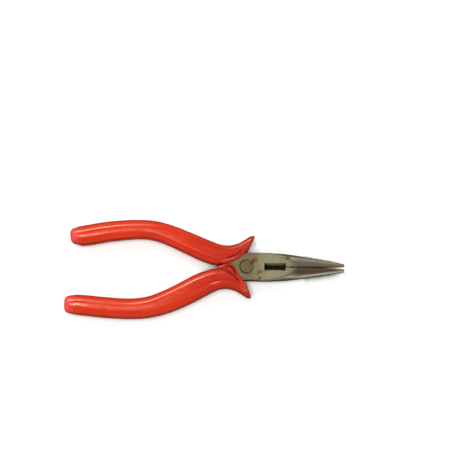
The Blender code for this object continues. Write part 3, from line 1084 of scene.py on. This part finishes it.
    def tooth_comb(self, joint: Joint) -> bmesh.types.BMesh:
        """Return the row of V grooves across the jaw face, which mesh with the other jaw's.

        Args:
            joint: The joint that the half is part of.

        Returns:
            The solid to take away.
        """
        reach = self.tooth_pitch / 2
        start, end = self.teeth
        outline = [(start - 2 * reach, self.tooth_backing), (start - 2 * reach, self.parting)]
        start += reach if self.half is Half.REAR else 0.0
        for index in range(int((end - start) / self.tooth_pitch) + 1):
            x = start + index * self.tooth_pitch
            outline += [(x, self.tooth_depth), (x + reach, -self.crest)]
        outline = [point for point in outline if point[0] < self.tip_relief_start]
        outline += [(self.tip_relief_start, self.tip_relief), (self.beyond[0], self.tip_relief),
                    (self.beyond[0], self.tooth_backing)]
        return prism(outline, -self.overshoot, joint.thickness + self.overshoot)

    def rivet_bore(self, joint: Joint) -> bmesh.types.BMesh:
        """Return the countersunk bore for the rivet."""
        return Rivet().bore(joint)

    def build(self, name: str, joint: Joint, sleeve: Sleeve) -> bpy.types.Object:
        """Make the forging from its blank, as it is ground and milled.

        Args:
            name: The name of the piece.
            joint: The joint that the half is part of.
            sleeve: The sleeve that the tang is inside.

        Returns:
            The forging as drawn.
        """
        forging = solid(name, self.blank(joint))
        shape(forging, solid("plan", prism(self.plan(joint), -2.0, joint.thickness + 2.0)), Cut.KEEP)
        shape(forging, solid("tang", skin(self.tang_rings(sleeve, joint, 0.0))), Cut.JOIN)
        shape(forging, solid("pocket", self.lap_pocket(joint)), Cut.TAKE)
        shape(forging, solid("bore", self.rivet_bore(joint)), Cut.TAKE)
        near_valley = solid("near_valley", self.valley(joint, 1))
        boss = solid("boss", prism(arc(joint.jaw_radius, 0, 358), -3.0, 15.0))
        shape(near_valley, boss, Cut.TAKE)
        shape(forging, near_valley, Cut.TAKE)
        shape(forging, solid("far_valley", self.valley(joint, -1)), Cut.TAKE)
        shape(forging, solid("teeth", self.tooth_comb(joint)), Cut.TAKE)
        smooth_shade(forging, self.sharp_degrees)
        return forging

    def dress(self, piece: bpy.types.Object, steel: bpy.types.Material) -> None:
        """Give the forging its ground steel."""
        piece.data.materials.append(steel)


@dataclass
class Rivet:
    """The pivot rivet: a shank with two flush countersunk heads."""

    shank: float = 3.0
    head: float = 3.85
    rim: float = 0.25
    depth: float = 1.4
    play: float = 0.03
    face: tuple[Point, ...] = ((1.0, 0.0), (3.0, 0.005), (3.68, 0.02), (3.76, 0.1))
    bore_growth: float = 0.06
    bore_overshoot: float = 1.0
    sharp_degrees: float = 40.0
    sides: int = 96

    def turned(self, low: list[Point], joint: Joint) -> bmesh.types.BMesh:
        """Turn a form that is the same at both ends.

        Args:
            low: The radii and heights of its lower end, from the end inward.
            joint: The joint that it goes through.

        Returns:
            The turned solid.
        """
        profile = low + [(radius, joint.thickness - z) for radius, z in reversed(low)]
        return skin([[(*polar(radius, 360 * i / self.sides), z) for i in range(self.sides)]
                     for radius, z in profile])

    def bore(self, joint: Joint) -> bmesh.types.BMesh:
        """Draw the countersunk bore that the rivet sits in.

        Args:
            joint: The joint that it goes through.

        Returns:
            The solid to take away.
        """
        head, shank = self.head + self.bore_growth, self.shank + self.bore_growth
        return self.turned([(head, -self.bore_overshoot), (head, self.rim), (shank, self.depth)], joint)

    def build(self, name: str, joint: Joint) -> bpy.types.Object:
        """Make the rivet, each head filed flush inside a small worn rim.

        Args:
            name: The name of the piece.
            joint: The joint that it holds.

        Returns:
            The rivet as drawn.
        """
        low = [*self.face, (self.head - self.play, self.rim), (self.shank, self.depth)]
        rivet = solid(name, self.turned(low, joint))
        smooth_shade(rivet, self.sharp_degrees)
        return rivet

    def dress(self, piece: bpy.types.Object, steel: bpy.types.Material) -> None:
        """Give the rivet its darker steel."""
        piece.data.materials.append(steel)


@dataclass
class Studio:
    """A pale floor, soft light and a camera that looks down on the lying pliers."""

    target: Point = (-10.0, 22.3)
    view_width: float = 271.0
    distance: float = 950.0
    tilt: float = 6.0
    zenith: Row = (0.34, 0.33, 0.29)
    near_side: Row = (0.33, 0.24, 0.21)
    horizon: Row = (0.95, 0.95, 0.93)
    below: Row = (0.15, 0.14, 0.125)
    warm: Row = (1.0, 0.86, 0.62)
    white: Row = (1.0, 1.0, 1.0)
    painted_floor_shadow: Row = (0.03, 0.027, 0.024)
    floor_size: float = 1500.0
    floor_drop: float = 0.0002
    sensor: float = 36.0
    aim: Place = (-0.02, 0.0, 0.0)

    def floor(self, height: float) -> None:
        """Lay a pale floor under the piece, with a painted shadow close round the pieces and under the
        nose.

        Args:
            height: The height of the floor, in metres.
        """
        bm = bmesh.new()
        bmesh.ops.create_grid(bm, x_segments=1, y_segments=1, size=self.floor_size)
        floor = solid("floor", bm)
        floor.location.z = height
        graph = Graph("floor_paper")
        cloud = graph.noise(0.01, 2.0)
        paper = graph.mix(cloud, (0.90, 0.92, 0.95), (0.93, 0.95, 0.98))
        # Painted shadow: the floor darkens where the pieces stand close over it, most under the nose.
        roofed = graph.math("SUBTRACT", graph.openness(3.0), graph.openness(7.5))
        toward_tip = graph.math("ADD", graph.remap(graph.axis("X"), 29.0, 36.0),
                                graph.remap(graph.axis("X"), 38.0, 50.0, 0.0, 0.45))
        roofed = graph.math("MULTIPLY", roofed, toward_tip)
        painted_floor_shadow = graph.math("MAXIMUM", graph.crevice(9.0, 0.27, 0.14), graph.remap(roofed, 0.32, 0.44))
        paper = graph.mix(painted_floor_shadow, paper, self.painted_floor_shadow)
        graph.feed(graph.shader.inputs["Base Color"], paper)
        graph.shader.inputs["Roughness"].default_value = 0.9
        graph.shader.inputs["Specular IOR Level"].default_value = 0.1
        floor.data.materials.append(graph.material)
        floor.visible_glossy = False
        floor.visible_diffuse = False

    def area(self, name: str, place: Row, size: Point, power: float, shines: bool = True) -> None:
        """Hang a soft, warm rectangular light that points at the pliers.

        Args:
            name: The light's name.
            place: Where it hangs, in metres.
            size: Its two sides, in metres.
            power: Its power in watts.
            shines: Whether it is warm and seen in gloss.
        """
        lamp = bpy.data.lights.new(name, "AREA")
        lamp.shape = "RECTANGLE"
        lamp.size, lamp.size_y = size
        lamp.energy = power
        lamp.color = self.warm if shines else self.white
        obj = bpy.data.objects.new(name, lamp)
        bpy.context.collection.objects.link(obj)
        obj.location = place
        obj.visible_glossy = shines
        aim = Vector(self.aim) - obj.location
        obj.rotation_euler = aim.to_track_quat("-Z", "Y").to_euler()

    def sky(self) -> None:
        """Surround the piece with soft light: pale at the horizon, dimmer overhead, dark below."""
        world = bpy.data.worlds.new("studio")
        bpy.context.scene.world = world
        world.use_nodes = True
        tree = world.node_tree
        coordinates = tree.nodes.new("ShaderNodeTexCoord")
        split = tree.nodes.new("ShaderNodeSeparateXYZ")
        height, side, ground = (tree.nodes.new("ShaderNodeMapRange") for _ in range(3))
        overhead, sky, whole = (tree.nodes.new("ShaderNodeMix") for _ in range(3))
        overhead.data_type = sky.data_type = whole.data_type = "RGBA"
        for node, output, low, high in (
                (height, "Z", 0.3, 0.72), (side, "Y", -0.06, -0.36), (ground, "Z", 0.04, -0.16)):
            node.interpolation_type = "SMOOTHSTEP"
            node.inputs["From Min"].default_value = low
            node.inputs["From Max"].default_value = high
            tree.links.new(split.outputs[output], node.inputs["Value"])
        tree.links.new(coordinates.outputs["Generated"], split.inputs[0])
        tree.links.new(side.outputs["Result"], overhead.inputs["Factor"])
        overhead.inputs["A"].default_value = (*self.zenith, 1.0)
        overhead.inputs["B"].default_value = (*self.near_side, 1.0)
        tree.links.new(height.outputs["Result"], sky.inputs["Factor"])
        sky.inputs["A"].default_value = (*self.horizon, 1.0)
        tree.links.new(overhead.outputs["Result"], sky.inputs["B"])
        tree.links.new(ground.outputs["Result"], whole.inputs["Factor"])
        tree.links.new(sky.outputs["Result"], whole.inputs["A"])
        whole.inputs["B"].default_value = (*self.below, 1.0)
        tree.links.new(whole.outputs["Result"], tree.nodes["Background"].inputs["Color"])

    def camera(self, joint: Joint) -> None:
        """Set the camera over the pliers, leaning a little towards the lower handle.

        Args:
            joint: The joint, whose middle height it aims at.
        """
        data = bpy.data.cameras.new("camera")
        data.sensor_width = self.sensor
        data.lens = data.sensor_width * self.distance / self.view_width
        camera = bpy.data.objects.new("camera", data)
        bpy.context.collection.objects.link(camera)
        lean = math.radians(self.tilt)
        target = Vector((*self.target, joint.middle))
        offset = Vector((0.0, -math.sin(lean), math.cos(lean))) * self.distance
        camera.location = (target + offset) * MM
        camera.rotation_euler = (lean, 0.0, 0.0)
        bpy.context.scene.camera = camera

    def build(self, joint: Joint) -> None:
        """Set the stage up.

        Args:
            joint: The joint that the camera aims at.
        """
        self.floor(cad_box[0].z - self.floor_drop)
        self.sky()
        self.area("key", (-0.32, 0.60, 0.80), (0.4, 0.12), 5.5)
        self.area("end_light", (-0.21, 0.03, 0.9), (0.04, 0.06), 1.0)
        self.area("fill", (-0.05, -0.08, 1.2), (0.6, 0.6), 10.0, shines=False)
        self.camera(joint)
        bpy.context.scene.view_settings.view_transform = "Standard"


LOWER_STATIONS = [
    ((-107.0, -27.2), (-106.9, -16.7)),
    ((-97.2, -28.4), (-97.4, -16.3)),
    ((-84.2, -29.8), (-83.6, -17.6)),
    ((-69.5, -30.6), (-69.8, -18.5)),
    ((-57.0, -29.9), (-59.0, -17.5)),
    ((-45.2, -26.9), (-49.8, -14.3)),
    ((-33.9, -22.2), (-40.1, -9.7)),
    ((-24.0, -17.1), (-30.0, -4.4)),
    ((-17.0, -13.6), (-21.5, -1.5)),
    ((-11.5, -12.9), (-15.8, -0.7)),
    ((-7.0, -13.9), (-10.6, 0.2)),
    ((-2.9, -16.2), (-6.8, -1.6)),
    ((0.2, -18.1), (-3.9, -4.8)),
    ((2.0, -18.4), (-1.9, -8.2)),
]
UPPER_STATIONS = [
    ((-104.7, -20.5), (-103.4, -10.9)),
    ((-96.0, -22.5), (-94.4, -10.6)),
    ((-81.1, -25.2), (-79.3, -13.4)),
    ((-64.7, -26.5), (-64.2, -15.1)),
    ((-53.0, -25.8), (-54.9, -14.4)),
    ((-41.8, -22.8), (-46.0, -11.5)),
    ((-30.8, -18.6), (-35.8, -7.0)),
    ((-22.0, -15.1), (-26.4, -2.9)),
    ((-15.3, -12.8), (-19.5, -0.9)),
    ((-10.3, -12.5), (-15.0, -0.7)),
    ((-5.8, -13.5), (-10.0, -1.7)),
    ((-1.6, -15.8), (-5.6, -3.3)),
    ((1.8, -18.0), (-2.1, -5.7)),
    ((3.9, -18.5), (-0.9, -8.4)),
]


def main() -> None:
    """Build every piece in order, then the stage."""
    logging.basicConfig(level=logging.INFO, format="%(message)s")
    joint = Joint()
    steel = GroundSteel("ground_steel").material()
    rivet_steel = GroundSteel("rivet_steel", bright=(0.30, 0.29, 0.2), dull=(0.25, 0.24, 0.16),
                              shaded=(0.145, 0.13, 0.08), roughness=0.4,
                              stains=((2.4, 2.2, 1.6),)).material()
    for half, stations, forging_node, sleeve_node, worn in (
            (Half.FRONT, LOWER_STATIONS, "front_half", "lower_sleeve", (-94.0, -66.0, 0.13)),
            (Half.REAR, UPPER_STATIONS, "rear_half", "upper_sleeve", (-70.0, -54.0, 0.05))):
        sleeve = Sleeve(stations)
        forging = Forging(half)
        piece = forging.build(forging_node + "_ground", joint, sleeve)
        forging.dress(piece, steel)
        set_in_place(piece, joint, half, forging_node)
        skin_piece = sleeve.build(sleeve_node + "_moulded", joint, forging)
        sleeve.dress(skin_piece, sleeve_node, worn)
        set_in_place(skin_piece, joint, half, sleeve_node)
    rivet = Rivet()
    rivet_piece = rivet.build("pivot_rivet_turned", joint)
    rivet.dress(rivet_piece, rivet_steel)
    set_in_place(rivet_piece, joint, Half.FRONT, "pivot_rivet")
    Studio().build(joint)


if __name__ == "__main__":
    main()
